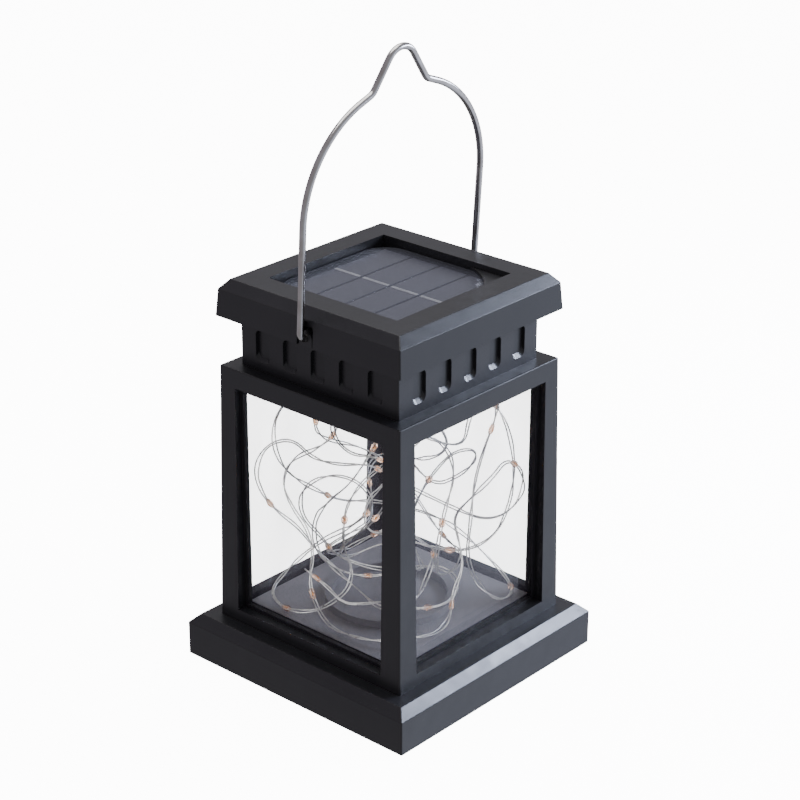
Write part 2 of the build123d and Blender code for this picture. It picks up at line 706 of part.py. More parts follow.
# ---- all the nodes ----
base_screws = [make_screw(x, y, base_screw_head, base_screw_top) for x, y in four_corners(base_screw_offset)]
tray_screws = [make_screw(x, y, tray_screw_head, tray_screw_top) for x, y in four_corners(post_offset)]
parts = {
    "base_plinth": make_base_plinth(),
    "base_screws": base_screws,
    "body_frame": make_body_frame(),
    "front_pane": make_pane(180),
    "right_pane": make_pane(-90),
    "rear_pane": make_pane(0),
    "left_pane": make_pane(90),
    "lid_cap": make_lid_cap(),
    "lid_collar": make_lid_collar(),
    "handle_wire": make_handle_wire(),
    "panel_pad": make_panel_pad(),
    "solar_board": rounded_plate(panel_side, panel_corner, board_low, board_high),
    "solar_cells": make_solar_cells(),
    "solar_ribbons": make_solar_ribbons(),
    "solar_resin": make_solar_resin(),
    "lid_tray": make_lid_tray(),
    "tray_screws": tray_screws,
    "battery": make_battery(),
    "battery_contact_plus": make_contact(1),
    "battery_contact_minus": make_contact(-1),
    "battery_cover": make_battery_cover(),
    "battery_cover_screw": make_screw(*door_ear, door_screw_head, door_screw_top),
    "circuit_board": make_circuit_board(),
    "driver_chip": make_driver_chip(),
    "inductor": make_inductor(),
    "switch_body": make_switch_body(),
    "switch_knob": make_switch_knob(),
    "string_gland": make_string_gland(),
    "light_string": wire_along(string_route, string_diameter, "light_string"),
    "led_beads": make_led_beads(),
}
for routes in (panel_lead_routes, battery_lead_routes):
    for name, route in routes.items():
        parts[name] = wire_along(route, lead_diameter, name)

os.makedirs("parts", exist_ok=True)
for name, part in parts.items():
    solids = part if isinstance(part, list) else part.solids()
    export_step(Compound(children=list(solids)) if len(solids) > 1 else solids[0], f"parts/{name}.step")
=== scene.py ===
import math

import bmesh
import bpy
import numpy as np
from mathutils import Matrix, Vector


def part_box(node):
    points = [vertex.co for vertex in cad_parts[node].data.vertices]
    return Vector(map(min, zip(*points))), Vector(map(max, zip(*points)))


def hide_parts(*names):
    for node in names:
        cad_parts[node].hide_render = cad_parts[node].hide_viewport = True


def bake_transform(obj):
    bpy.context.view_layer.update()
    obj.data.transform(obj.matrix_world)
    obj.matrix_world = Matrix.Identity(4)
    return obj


# The looks of a square solar garden lantern. Everything is in metres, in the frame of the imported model:
# +Z up, X along the handle's hinge, -Y the front window.

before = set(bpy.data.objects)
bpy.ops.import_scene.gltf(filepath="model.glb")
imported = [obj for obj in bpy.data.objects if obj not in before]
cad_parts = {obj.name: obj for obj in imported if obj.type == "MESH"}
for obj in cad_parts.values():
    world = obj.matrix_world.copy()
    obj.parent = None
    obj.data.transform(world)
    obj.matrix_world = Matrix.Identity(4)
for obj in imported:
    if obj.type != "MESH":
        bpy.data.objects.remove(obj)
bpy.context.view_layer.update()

# ---- camera ----
CAMERA_PLACE = (-0.55147, -0.49432, 0.43029)
CAMERA_AZIMUTH = -48.41
CAMERA_ELEVATION = 23.90
CAMERA_ROLL = 0.15
CAMERA_LENS = 101.15
SENSOR_WIDTH = 36.0

# ---- room and lights ----
FLOOR_HALF = 6.0
FLOOR_HEIGHT = -0.0002  # just under the base
AIM = Vector((0.0, 0.0, 0.09))
BACKDROP_GLOW = 12.0
BRIGHT_SIDE = (0.602, -0.679, -0.420)  # to the lantern's right, as the camera sees it, and a little below
ROOM_SHADES = [
    (0.0, (0.40, 0.37, 0.43)),
    (0.55, (0.43, 0.43, 0.45)),
    (0.80, (0.50, 0.53, 0.62)),
    (1.0, (1.25, 1.33, 1.58)),
]
KEY_PLACE = (0.36, -0.22, 0.27)
LOW_KEY_PLACE = (0.40, -0.25, 0.31)
KEY_SIZE = (0.26, 0.10)
KEY_COLOUR = (0.70, 0.78, 1.0)
KEY_POWER = 2.2
LOW_KEY_POWER = 3.3
TOP_PLACE = (0.1, 0.1, 0.9)
TOP_SIZE = (0.7, 0.7)
TOP_POWER = 6.0
LEFT_CARD_PLACE = (-0.75, -0.15, 0.30)
FRONT_CARD_PLACE = (-0.05, -0.75, 0.30)
CARD_SIZE = (0.6, 0.5)
CARD_POWER = 10.0

# ---- colours of the black plastic ----
BLACK_ABS = (0.0125, 0.0122, 0.0140)
BLACK_ABS_WORN = (0.0160, 0.0157, 0.0178)
# painted light: pale colours for the floor and ring behind the panes, standing in for the bright backdrop
# they reflect
PAINTED_FLOOR_LIGHT = (0.32, 0.31, 0.32)
PAINTED_FLOOR_LIGHT_PALE = (0.42, 0.405, 0.415)
RING_HEIGHT = 0.003  # the ring on the floor behind the panes

# ---- the string of lights ----
STRAND_RADIUS = 0.00027
STRAND_OFFSET = 0.00052  # from the middle of the pair to each wire, on average
STRAND_SIDES = 7
TWIST_WAVES = [(1.3, 61, 0.0), (0.9, 137, 1.0), (0.5, 290, 2.0)]  # height, radians per metre, phase
WANDER_WAVES = [(0.28, 93, 0.4), (0.2, 211, 1.7)]
CLOSE_UP_LENGTH = 0.005  # how far from an LED its wires start to close up
CLOSE_UP_SHARE = 0.45
SAMPLES_PER_RUN = 10
FIRST_LED_RUN = 8
LED_SPACING = 7
DROP_LENGTH = 0.0040
DROP_WIDTH = 0.00122
DROP_DEPTH = 0.00095
DROP_RINGS = 13
DROP_SIDES = 14
DROP_TIP = 0.16  # the share of its girth that a drop keeps at its ends
DROP_SWELL = 0.10  # how much the drops differ in girth,
DROP_STRETCH = 0.12  # how much they differ in length,
DROP_LUMPS = 0.06  # and how uneven each of them is
CHIP_BLOCK = (0.0016, 0.0008, 0.00045)
CHIP_WINDOW = (0.0011, 0.0006, 0.0002)
CHIP_WINDOW_LIFT = 0.0003
CHIP_BEVEL = 0.00006

STRING_ROUTE = [
    (-0.006, -0.003, 0.119), (-0.006, -0.003, 0.105), (-0.002, -0.009, 0.095), (0.007, -0.019, 0.088),
    (0.017, -0.021, 0.085), (0.024, -0.017, 0.091), (0.028, -0.018, 0.1), (0.029, -0.025, 0.103),
    (0.025, -0.03, 0.098), (0.021, -0.027, 0.084), (0.018, -0.025, 0.07), (0.014, -0.027, 0.056),
    (0.012, -0.027, 0.043), (0.016, -0.029, 0.031), (0.022, -0.034, 0.023), (0.03, -0.035, 0.023),
    (0.035, -0.029, 0.025), (0.033, -0.021, 0.032), (0.027, -0.014, 0.042), (0.021, -0.006, 0.049),
    (0.013, 0.005, 0.053), (0.004, 0.013, 0.056), (-0.007, 0.018, 0.058), (-0.018, 0.021, 0.066),
    (-0.03, 0.023, 0.076), (-0.034, 0.026, 0.087), (-0.03, 0.029, 0.097), (-0.02, 0.028, 0.104),
    (-0.009, 0.022, 0.1), (-0.009, 0.016, 0.09), (-0.015, 0.019, 0.083), (-0.02, 0.031, 0.076),
    (-0.024, 0.032, 0.067), (-0.024, 0.027, 0.059), (-0.023, 0.02, 0.052), (-0.025, 0.015, 0.044),
    (-0.028, 0.015, 0.034), (-0.031, 0.008, 0.026), (-0.034, -0.002, 0.023), (-0.033, -0.013, 0.023),
    (-0.03, -0.023, 0.024), (-0.023, -0.032, 0.026), (-0.013, -0.034, 0.024), (-0.004, -0.033, 0.026),
    (0.001, -0.03, 0.034), (0.007, -0.03, 0.042), (0.01, -0.025, 0.05), (0.011, -0.021, 0.058),
    (0.012, -0.028, 0.067), (0.019, -0.033, 0.075), (0.028, -0.032, 0.079), (0.035, -0.034, 0.073),
    (0.035, -0.035, 0.064), (0.029, -0.033, 0.057), (0.023, -0.027, 0.054), (0.018, -0.018, 0.057),
    (0.008, -0.006, 0.065), (-0.001, 0.001, 0.073), (-0.009, 0.002, 0.079), (-0.018, 0.008, 0.08),
    (-0.024, 0.016, 0.082), (-0.022, 0.028, 0.086), (-0.03, 0.034, 0.084), (-0.035, 0.035, 0.075),
    (-0.034, 0.032, 0.066), (-0.03, 0.029, 0.059), (-0.024, 0.024, 0.052), (-0.018, 0.022, 0.042),
    (-0.014, 0.014, 0.033), (-0.013, 0.003, 0.028), (-0.016, -0.009, 0.026), (-0.009, -0.019, 0.027),
    (0.002, -0.025, 0.026), (0.012, -0.023, 0.027), (0.018, -0.017, 0.03), (0.015, -0.008, 0.032),
    (0.005, -0.001, 0.031), (-0.006, 0.006, 0.034), (-0.016, 0.014, 0.041), (-0.022, 0.013, 0.05),
    (-0.029, 0.017, 0.06), (-0.032, 0.015, 0.071), (-0.029, 0.01, 0.078), (-0.024, 0.003, 0.08),
    (-0.018, -0.003, 0.076), (-0.014, -0.005, 0.067), (-0.014, 0.002, 0.058), (-0.013, 0.012, 0.05),
    (-0.012, 0.022, 0.043), (-0.014, 0.03, 0.035), (-0.022, 0.034, 0.028), (-0.031, 0.032, 0.025),
    (-0.034, 0.025, 0.023), (-0.034, 0.017, 0.023), (-0.03, 0.01, 0.024), (-0.024, 0.006, 0.027),
    (-0.018, 0.004, 0.031), (-0.014, 0.006, 0.037), (-0.016, 0.008, 0.044), (-0.019, 0.006, 0.053),
    (-0.014, 0.009, 0.062), (-0.004, 0.009, 0.069), (0.006, 0.003, 0.076), (0.013, -0.005, 0.084),
    (0.02, -0.009, 0.094), (0.028, -0.013, 0.099), (0.032, -0.02, 0.099), (0.032, -0.027, 0.093),
    (0.034, -0.029, 0.084), (0.035, -0.03, 0.075), (0.035, -0.03, 0.065), (0.033, -0.029, 0.055),
    (0.026, -0.029, 0.047), (0.017, -0.023, 0.042), (0.008, -0.015, 0.044), (-0.001, -0.008, 0.049),
    (-0.011, -0.002, 0.048), (-0.021, 0.001, 0.046), (-0.029, -0.001, 0.051), (-0.033, -0.008, 0.06),
    (-0.033, -0.018, 0.069), (-0.031, -0.026, 0.079), (-0.028, -0.028, 0.09), (-0.021, -0.026, 0.1),
    (-0.011, -0.028, 0.101), (-0.003, -0.031, 0.093), (-0.001, -0.032, 0.082), (-0.006, -0.032, 0.072),
    (-0.011, -0.033, 0.061), (-0.011, -0.032, 0.05), (-0.004, -0.028, 0.042), (0.006, -0.024, 0.038),
    (0.015, -0.021, 0.036), (0.024, -0.015, 0.036), (0.028, -0.006, 0.035), (0.03, 0.003, 0.038),
    (0.029, 0.01, 0.046), (0.026, 0.016, 0.056), (0.022, 0.024, 0.064), (0.014, 0.03, 0.07),
    (0.004, 0.034, 0.074), (-0.005, 0.033, 0.081), (-0.006, 0.031, 0.091), (0.002, 0.029, 0.099),
    (0.012, 0.027, 0.103), (0.022, 0.027, 0.099), (0.029, 0.027, 0.09), (0.032, 0.026, 0.08),
    (0.03, 0.021, 0.07), (0.027, 0.012, 0.062), (0.028, 0.002, 0.057), (0.031, -0.006, 0.062),
    (0.032, -0.014, 0.07), (0.027, -0.018, 0.079), (0.018, -0.015, 0.08), (0.008, -0.015, 0.076),
    (-0.002, -0.017, 0.072), (-0.012, -0.021, 0.067), (-0.021, -0.019, 0.062), (-0.026, -0.011, 0.063),
    (-0.022, -0.008, 0.072), (-0.017, -0.013, 0.079), (-0.018, -0.017, 0.088), (-0.025, -0.014, 0.093),
    (-0.028, -0.006, 0.092), (-0.027, 0.004, 0.097), (-0.019, 0.009, 0.102), (-0.012, 0.003, 0.104),
    (-0.014, -0.007, 0.101), (-0.02, -0.013, 0.098), (-0.028, -0.015, 0.094), (-0.033, -0.011, 0.084),
    (-0.035, -0.002, 0.075), (-0.034, 0.006, 0.065), (-0.033, 0.007, 0.054), (-0.029, 0.005, 0.045),
    (-0.022, -0.002, 0.04), (-0.012, -0.008, 0.038), (-0.002, -0.013, 0.04), (0.006, -0.012, 0.034),
    (0.01, -0.004, 0.038), (0.016, 0.004, 0.041), (0.022, 0.013, 0.039), (0.024, 0.022, 0.034),
    (0.017, 0.029, 0.029), (0.007, 0.031, 0.027), (-0.002, 0.03, 0.03), (-0.008, 0.025, 0.037),
    (-0.002, 0.018, 0.043), (0.008, 0.017, 0.044), (0.015, 0.022, 0.05), (0.02, 0.03, 0.058),
    (0.029, 0.031, 0.061), (0.034, 0.023, 0.06), (0.034, 0.014, 0.062), (0.034, 0.004, 0.067),
    (0.031, -0.002, 0.076), (0.027, 0.003, 0.085), (0.022, 0.01, 0.093), (0.014, 0.014, 0.099),
    (0.005, 0.013, 0.103), (0, 0.006, 0.097), (0.001, 0.004, 0.088), (0.009, 0.011, 0.082),
    (0.018, 0.013, 0.076), (0.021, 0.008, 0.067), (0.014, 0.003, 0.06), (0.003, 0.002, 0.06),
    (-0.006, -0.004, 0.058), (-0.009, -0.013, 0.061), (-0.007, -0.02, 0.055), (0.001, -0.021, 0.049),
    (0.005, -0.017, 0.041), (-0.001, -0.018, 0.034), (-0.009, -0.021, 0.031), (-0.019, -0.019, 0.035),
    (-0.026, -0.013, 0.034), (-0.031, -0.005, 0.033), (-0.031, 0.003, 0.038), (-0.033, 0.012, 0.042),
]


def make_camera():
    data = bpy.data.cameras.new("camera")
    data.lens = CAMERA_LENS
    data.sensor_width = SENSOR_WIDTH
    camera = bpy.data.objects.new("camera", data)
    bpy.context.scene.collection.objects.link(camera)
    azimuth, elevation = math.radians(CAMERA_AZIMUTH), math.radians(CAMERA_ELEVATION)
    back = Vector((
        math.sin(azimuth) * math.cos(elevation),
        -math.cos(azimuth) * math.cos(elevation),
        math.sin(elevation),
    ))
    right = Vector((math.cos(azimuth), math.sin(azimuth), 0))
    turn = Matrix((right, back.cross(right), back)).transposed()
    roll = Matrix.Rotation(math.radians(CAMERA_ROLL), 3, "Z")
    camera.matrix_world = Matrix.Translation(CAMERA_PLACE) @ (turn @ roll).to_4x4()
    bpy.context.scene.camera = camera


# ---- meshes ----
def link_mesh(name, data):
    piece = bpy.data.objects.new(name, data)
    bpy.context.scene.collection.objects.link(piece)
    for polygon in data.polygons:
        polygon.use_smooth = True
    return piece


def mesh_of_rings(name, tubes):
    """One mesh of closed tubes. Each tube is an array of rings, and each ring an array of points."""
    vertices, faces = [], []
    for rings in tubes:
        start, (count, sides) = len(vertices), rings.shape[:2]
        vertices.extend(rings.reshape(-1, 3).tolist())
        for ring in range(count - 1):
            for side in range(sides):
                here = start + ring * sides + side
                beside = start + ring * sides + (side + 1) % sides
                faces.append((here, beside, beside + sides, here + sides))
        faces.append(tuple(range(start + sides - 1, start - 1, -1)))
        faces.append(tuple(range(start + (count - 1) * sides, start + count * sides)))
    data = bpy.data.meshes.new(name)
    data.from_pydata(vertices, [], faces)
    data.update()
    return link_mesh(name, data)


# ---- the string's line ----
def string_line():
    """The points of a smooth NURBS curve through the chamber."""
    curve = bpy.data.curves.new("string_line", "CURVE")
    curve.dimensions = "3D"
    curve.resolution_u = SAMPLES_PER_RUN
    spline = curve.splines.new("NURBS")
    spline.points.add(len(STRING_ROUTE) - 1)
    for point, place in zip(spline.points, STRING_ROUTE):
        point.co = (*place, 1.0)
    spline.order_u = 3
    spline.use_endpoint_u = True
    line = bpy.data.objects.new("string_line", curve)
    data = bpy.data.meshes.new_from_object(line)
    points = np.array([vertex.co for vertex in data.vertices], float)
    bpy.data.meshes.remove(data)
    bpy.data.curves.remove(curve)
    return points


def unit(vectors):
    return vectors / np.linalg.norm(vectors, axis=-1, keepdims=True)


def side_directions(points):
    """For each point of a line, its direction and a direction across it that doesn't spin along the line."""
    forward = unit(np.gradient(points, axis=0))
    across = np.zeros_like(points)
    across[0] = (1.0, 0.0, 0.0)
    for i in range(len(points)):
        carried = across[max(i - 1, 0)]
        across[i] = unit(carried - forward[i] * (carried @ forward[i]))
    return forward, across


def led_places(points):
    """The index of the line's point in the middle of each run that carries an LED."""
    route = np.array(STRING_ROUTE)
    middles = (route[1:] + route[:-1])[FIRST_LED_RUN::LED_SPACING] / 2
    return [int(np.linalg.norm(points - middle, axis=1).argmin()) for middle in middles]


def distance_along(points):
    steps = np.linalg.norm(np.diff(points, axis=0), axis=1)
    return np.concatenate([[0.0], np.cumsum(steps)])


def sum_of_waves(along, waves):
    return sum(height * np.sin(along * pace + phase) for height, pace, phase in waves)


def make_strands(points, forward, across, leds):
    """The two wires of the string: they run side by side, wander apart and close up at each LED."""
    along = distance_along(points)
    twist = sum_of_waves(along, TWIST_WAVES)
    offset = STRAND_OFFSET * (1.0 + sum_of_waves(along, WANDER_WAVES))
    for led in leds:
        near = np.exp(-(((along - along[led]) / CLOSE_UP_LENGTH) ** 2))
        offset = offset * (1 - CLOSE_UP_SHARE * near)
    beside = np.cross(forward, across)
    tubes = []
    for half_turn in (0.0, math.pi):
        angle = (twist + half_turn)[:, None]
        middle = points + offset[:, None] * (across * np.cos(angle) + beside * np.sin(angle))
        ring = []
        for side in range(STRAND_SIDES):
            turn = 2 * math.pi * side / STRAND_SIDES
            ring.append(middle + STRAND_RADIUS * (across * math.cos(turn) + beside * math.sin(turn)))
        tubes.append(np.stack(ring, axis=1))
    return mesh_of_rings("string_wires", tubes), twist


def make_drops(points, forward, across, twist, leds):
    """The drop of clear resin over each LED, widest across the pair of wires, and no two quite alike."""
    along = distance_along(points)
    beside = np.cross(forward, across)
    turns = 2 * math.pi * np.arange(DROP_SIDES)[:, None] / DROP_SIDES
    tubes = []
    for number, led in enumerate(leds):
        swell = 1 + DROP_SWELL * math.sin(3.1 * number)
        length = DROP_LENGTH * (1 + DROP_STRETCH * math.sin(1.7 * number + 1))
        places = np.linspace(-0.5, 0.5, DROP_RINGS) * length
        middle = np.stack([np.interp(along[led] + places, along, points[:, k]) for k in range(3)], axis=1)
        pair = across[led] * math.cos(twist[led]) + beside[led] * math.sin(twist[led])
        flat = np.cross(forward[led], pair)
        reach = DROP_WIDTH * np.cos(turns) * pair + DROP_DEPTH * np.sin(turns) * flat
        tube = []
        for ring in range(DROP_RINGS):
            share = 2 * ring / (DROP_RINGS - 1) - 1
            outline = DROP_TIP + (1 - DROP_TIP) * (1 - abs(share) ** 2.3) ** 0.6
            girth = swell * outline * (1 + DROP_LUMPS * math.sin(4 * share + number))
            tube.append(middle[ring] + girth * reach)
        tubes.append(np.array(tube))
    return mesh_of_rings("led_drops", tubes)


def make_chips(points, forward, across, twist, leds):
    """The small LED inside each drop: a ceramic block with a phosphor window."""
    beside = np.cross(forward, across)
    mesh = bmesh.new()
    for led in leds:
        pair = across[led] * math.cos(twist[led]) + beside[led] * math.sin(twist[led])
        flat = np.cross(forward[led], pair)
        turn = Matrix((forward[led], pair, flat)).transposed().to_4x4()
        for size, lift in ((CHIP_BLOCK, 0.0), (CHIP_WINDOW, CHIP_WINDOW_LIFT)):
            place = Matrix.Translation(Vector(points[led]) + Vector(flat) * lift)
            made = bmesh.ops.create_cube(mesh, size=1.0, matrix=place @ turn @ Matrix.Diagonal((*size, 1)))
            edges = {edge for vertex in made["verts"] for edge in vertex.link_edges}
            bmesh.ops.bevel(mesh, geom=list(edges), offset=CHIP_BEVEL, segments=2, affect="EDGES")
    data = bpy.data.meshes.new("led_chips")
    mesh.to_mesh(data)
    mesh.free()
    return link_mesh("led_chips", data)


def make_string():
    points = string_line()
    forward, across = side_directions(points)
    leds = led_places(points)
    wires, twist = make_strands(points, forward, across, leds)
    drops = make_drops(points, forward, across, twist, leds)
    chips = make_chips(points, forward, across, twist, leds)
    for piece, material, slot in (
        (wires, silver_wire(), "silver_wire"),
        (drops, led_resin(), "led_drops"),
        (chips, led_chip(), "led_drops"),
    ):
        piece.data.materials.append(material)
        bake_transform(piece)
    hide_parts("light_string")
    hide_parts("led_beads")
    return wires, drops, chips


# ---- material helpers ----
class Look:
    """A principled material, with short ways to add procedural detail to it."""

    def __init__(self, name, **uniform):
        self.material = bpy.data.materials.new(name)
        self.material.use_nodes = True
        self.tree = self.material.node_tree
        self.shader = self.tree.nodes["Principled BSDF"]
        for socket, value in uniform.items():
            self.shader.inputs[socket.replace("_", " ")].default_value = value
        self.space = self.tree.nodes.new("ShaderNodeTexCoord").outputs["Object"]

    def link(self, output, node, socket):
        self.tree.links.new(output, node.inputs[socket])

    def stretched(self, scale):
        """Object coordinates with each axis scaled, for marks that run one way."""
        node = self.tree.nodes.new("ShaderNodeMapping")
        node.inputs["Scale"].default_value = scale
        self.link(self.space, node, "Vector")
        return node.outputs["Vector"]

    def noise(self, size, detail=2.0, space=None, distortion=0.0):
        """Noise whose blotches are about that size, in metres."""
        node = self.tree.nodes.new("ShaderNodeTexNoise")
        node.inputs["Scale"].default_value = 1.0 / size
        node.inputs["Detail"].default_value = detail
        node.inputs["Distortion"].default_value = distortion
        self.link(space or self.space, node, "Vector")
        return node.outputs["Fac"]

    def cells(self, size, space=None):
        """The distance to the nearest of scattered points that far apart."""
        node = self.tree.nodes.new("ShaderNodeTexVoronoi")
        node.inputs["Scale"].default_value = 1.0 / size
        self.link(space or self.space, node, "Vector")
        return node.outputs["Distance"]

    def coordinate(self, axis):
        """Where each point of the surface is along that axis, in metres."""
        node = self.tree.nodes.new("ShaderNodeSeparateXYZ")
        self.link(self.space, node, "Vector")
        return node.outputs[axis]

    def between(self, value, low, high, from_low=0.3, from_high=0.7):
        """value taken from one range to another."""
        node = self.tree.nodes.new("ShaderNodeMapRange")
        node.inputs["From Min"].default_value = from_low
        node.inputs["From Max"].default_value = from_high
        node.inputs["To Min"].default_value = low
        node.inputs["To Max"].default_value = high
        self.link(value, node, "Value")
        return node.outputs["Result"]

    def colours(self, value, stops):
        """A colour ramp: stops are (place, (red, green, blue))."""
        node = self.tree.nodes.new("ShaderNodeValToRGB")
        elements = node.color_ramp.elements
        while len(elements) < len(stops):
            elements.new(0.5)
        for element, (place, colour) in zip(elements, stops):
            element.position = place
            element.color = (*colour, 1.0)
        self.link(value, node, "Fac")
        return node.outputs["Color"]

    def calculate(self, operation, first, second=0.0):
        node = self.tree.nodes.new("ShaderNodeMath")
        node.operation = operation
        for socket, value in enumerate((first, second)):
            if isinstance(value, (int, float)):
                node.inputs[socket].default_value = value
            else:
                self.link(value, node, socket)
        return node.outputs["Value"]

    def base_colour(self, output):
        self.link(output, self.shader, "Base Color")

    def roughness(self, output):
        self.link(output, self.shader, "Roughness")

    def bump(self, height, depth, strength=1.0):
        """Relief of that depth, in metres, added over any relief that is there."""
        node = self.tree.nodes.new("ShaderNodeBump")
        node.inputs["Distance"].default_value = depth
        node.inputs["Strength"].default_value = strength
        self.link(height, node, "Height")
        normal = self.shader.inputs["Normal"]
        if normal.is_linked:
            self.link(normal.links[0].from_socket, node, "Normal")
        self.link(node.outputs["Normal"], self.shader, "Normal")
        return self


# ---- materials ----
def moulded_look(name):
    """The fine spark-eroded mould texture of black ABS, with slight handling marks."""
    look = Look(name, Specular_IOR_Level=0.5)
    look.roughness(look.between(look.noise(0.006, 3.0), 0.32, 0.40))
    look.bump(look.noise(0.0006, 3.0), 0.00005, 0.25)
    look.bump(look.noise(0.012, 1.0), 0.00008, 0.08)
    return look


def case_plastic():
    look = moulded_look("case_plastic")
    look.base_colour(look.colours(look.noise(0.018, 4.0), [(0.3, BLACK_ABS), (0.7, BLACK_ABS_WORN)]))
    return look.material


def plinth_plastic():
    """The case's plastic, with the floor and the ring behind the panes painted paler: painted light,
    standing in for the bright backdrop that they reflect.
    """
    look = moulded_look("plinth_plastic")
    ring_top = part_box("base_plinth")[1].z
    floor_top = ring_top - RING_HEIGHT
    # painted light: everything from the floor up is painted pale, standing in for the backdrop reflected on
    # it
    dust_and_painted_light = look.between(look.coordinate("Z"), 0.0, 1.0, floor_top - 0.0004, floor_top - 0.0002)
    mottle = look.calculate("MULTIPLY", look.noise(0.018, 4.0), 0.4)
    shade = look.calculate("ADD", mottle, look.calculate("MULTIPLY", dust_and_painted_light, 0.5))
    stops = [(0.12, BLACK_ABS), (0.28, BLACK_ABS_WORN), (0.62, PAINTED_FLOOR_LIGHT), (0.82, PAINTED_FLOOR_LIGHT_PALE)]
    look.base_colour(look.colours(shade, stops))
    return look.material


def tray_plastic():
    """Plain black moulding with a coarser, duller texture."""
    look = Look("tray_plastic", Specular_IOR_Level=0.4)
    mottle = look.noise(0.01, 4.0)
    look.base_colour(look.colours(mottle, [(0.3, (0.014, 0.014, 0.015)), (0.7, (0.022, 0.022, 0.024))]))
    look.roughness(look.between(look.noise(0.004, 3.0), 0.5, 0.65))
    look.bump(look.noise(0.0006, 3.0), 0.00006, 0.4)
    return look.material


def clear_pane():
    """A thin clear sheet, a little greyed, with faint dust and wipe marks."""
    look = Look("clear_pane", IOR=1.9, Specular_IOR_Level=0.5)
    dust_and_painted_light = look.noise(0.0011, 5.0)
    smear = look.noise(0.02, 3.0, look.stretched((1.0, 1.0, 0.35)), 0.6)
    look.base_colour(look.colours(smear, [(0.3, (0.10, 0.09, 0.12)), (0.7, (0.14, 0.125, 0.15))]))
    look.roughness(look.between(smear, 0.03, 0.09))
    haze = look.calculate("MULTIPLY", look.between(dust_and_painted_light, 0.9, 1.1), look.between(smear, 0.23, 0.27))
    look.link(haze, look.shader, "Alpha")
    look.bump(look.noise(0.03, 1.0), 0.0001, 0.15)
    return look.material


def polished_steel():
    """Drawn and polished wire, with fine lines along it."""
    look = Look("polished_steel", Metallic=1.0)
    lines = look.noise(0.0004, 3.0, look.stretched((1.0, 1.0, 0.03)))
    tarnish = look.noise(0.006, 4.0)
    look.base_colour(look.colours(tarnish, [(0.3, (0.40, 0.375, 0.355)), (0.7, (0.52, 0.505, 0.495))]))
    look.roughness(look.between(lines, 0.12, 0.24))
    look.bump(lines, 0.00002, 0.3)
    return look.material


def solar_resin():
    """Clear poured resin: a glossy skin with the faintest waves."""
    look = Look("solar_resin", IOR=1.9, Specular_IOR_Level=0.5)
    cloud = look.noise(0.012, 2.0)
    look.base_colour(look.colours(cloud, [(0.3, (0.096, 0.099, 0.120)), (0.7, (0.106, 0.109, 0.132))]))
    look.roughness(look.between(cloud, 0.13, 0.17))
    look.link(look.between(look.noise(0.02, 2.0), 0.28, 0.31), look.shader, "Alpha")
    look.bump(look.noise(0.014, 1.0), 0.00008, 0.15)
    return look.material


def solar_cell():
    """Thin-film cells: a slate face with fine lines across each strip."""
    look = Look("solar_cell", Specular_IOR_Level=0.5)
    grain = look.noise(0.0009, 4.0, look.stretched((1.0, 0.2, 1.0)))
    look.base_colour(look.colours(grain, [(0.25, (0.105, 0.108, 0.145)), (0.75, (0.125, 0.130, 0.170))]))
    look.roughness(look.between(grain, 0.30, 0.38))
    look.bump(grain, 0.00002, 0.2)
    return look.material


def tinned_ribbon():
    look = Look("tinned_ribbon", Metallic=0.2)
    wear = look.noise(0.0012, 4.0, look.stretched((1.0, 0.4, 1.0)))
    look.base_colour(look.colours(wear, [(0.3, (0.60, 0.61, 0.64)), (0.7, (0.78, 0.79, 0.82))]))
    look.roughness(look.between(wear, 0.35, 0.55))
    look.bump(wear, 0.00003, 0.4)
    return look.material


def circuit_laminate():
    """Dark solder mask with the faint relief of copper tracks under it."""
    look = Look("circuit_laminate")
    tracks = look.cells(0.004)
    look.base_colour(look.colours(tracks, [(0.35, (0.010, 0.035, 0.020)), (0.42, (0.016, 0.058, 0.030))]))
    look.roughness(look.between(look.noise(0.003), 0.3, 0.42))
    look.bump(look.between(tracks, 0.0, 1.0, 0.36, 0.42), 0.00004, 0.5)
    return look.material


def panel_laminate():
    """The slate-coloured board that the cells are stuck to."""
    look = Look("panel_laminate")
    weave = look.noise(0.0008, 3.0, look.stretched((1.0, 0.3, 1.0)))
    look.base_colour(look.colours(weave, [(0.3, (0.060, 0.062, 0.080)), (0.7, (0.080, 0.083, 0.105))]))
    look.roughness(look.between(weave, 0.35, 0.5))
    look.bump(weave, 0.00003, 0.3)
    return look.material


def foam_pad():
    look = Look("foam_pad", Roughness=0.95)
    pores = look.cells(0.0007)
    look.base_colour(look.colours(pores, [(0.1, (0.16, 0.16, 0.16)), (0.6, (0.34, 0.34, 0.33))]))
    look.bump(pores, 0.0003, 0.8)
    return look.material


def plated_screw():
    """Zinc plate, brushed by the driver."""
    look = Look("plated_screw", Metallic=1.0)
    wear = look.noise(0.0007, 4.0)
    look.base_colour(look.colours(wear, [(0.3, (0.42, 0.42, 0.43)), (0.7, (0.62, 0.62, 0.62))]))
    look.roughness(look.between(wear, 0.25, 0.42))
    look.bump(wear, 0.00003, 0.4)
    return look.material


